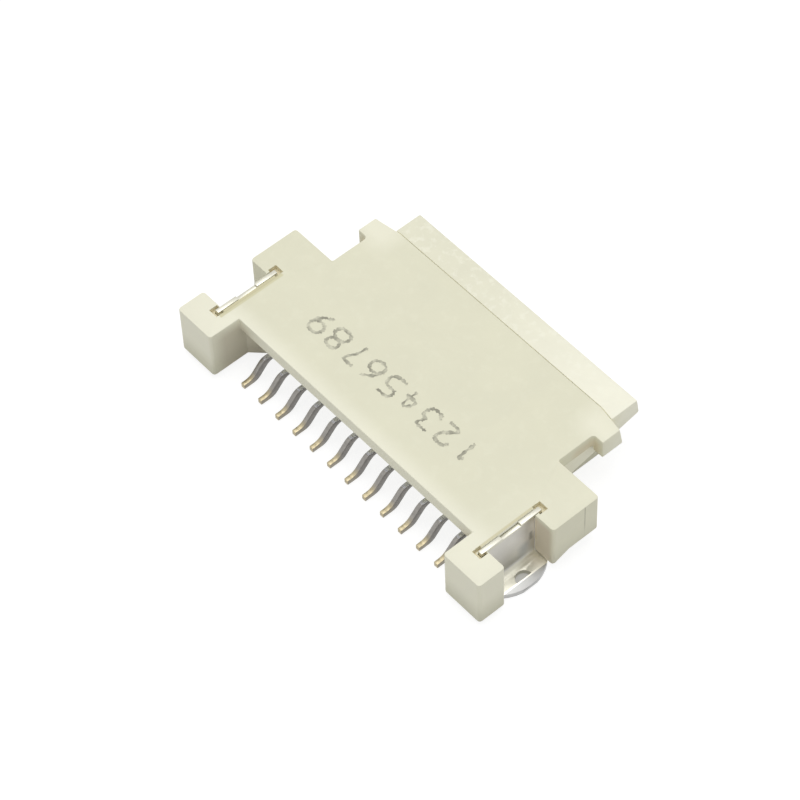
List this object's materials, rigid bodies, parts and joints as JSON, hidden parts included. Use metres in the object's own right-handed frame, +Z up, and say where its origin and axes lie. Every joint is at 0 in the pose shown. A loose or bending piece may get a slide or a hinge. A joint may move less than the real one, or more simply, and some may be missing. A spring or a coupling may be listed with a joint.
{
  "type": "flexible flat cable connector",
  "caption": "Low right-angle surface-mount connector for a flat flexible cable, with a slide-out drawer lock and a row of spring contacts.",
  "frame": {"origin": "middle of the part's outline, on the surface of the circuit board", "axes": "+X along the row of contacts, +Y out of the cable mouth in the direction the slider opens, +Z up from the board"},
  "size_m": [0.017, 0.0099, 0.0025],
  "materials": {
    "housing_plastic": "satin moulded ivory",
    "slider_plastic": "satin moulded pale ivory",
    "contact_metal": "satin tin plating over phosphor bronze",
    "nail_metal": "satin tin plating over phosphor bronze"
  },
  "bodies": {
    "housing": {"housing": "housing_plastic", "contact_01": "contact_metal", "contact_02": "contact_metal", "contact_03": "contact_metal", "contact_04": "contact_metal", "contact_05": "contact_metal", "contact_06": "contact_metal", "contact_07": "contact_metal", "contact_08": "contact_metal", "contact_09": "contact_metal", "contact_10": "contact_metal", "contact_11": "contact_metal", "contact_12": "contact_metal", "solder_nail_left": "nail_metal", "solder_nail_right": "nail_metal"},
    "slider": {"slider": "slider_plastic"}
  },
  "joints": [
    {"name": "slider_travel", "type": "slide", "parent": "housing", "child": "slider", "axis": [0, 1, 0], "range_m": [0, 0.001]}
  ]
}
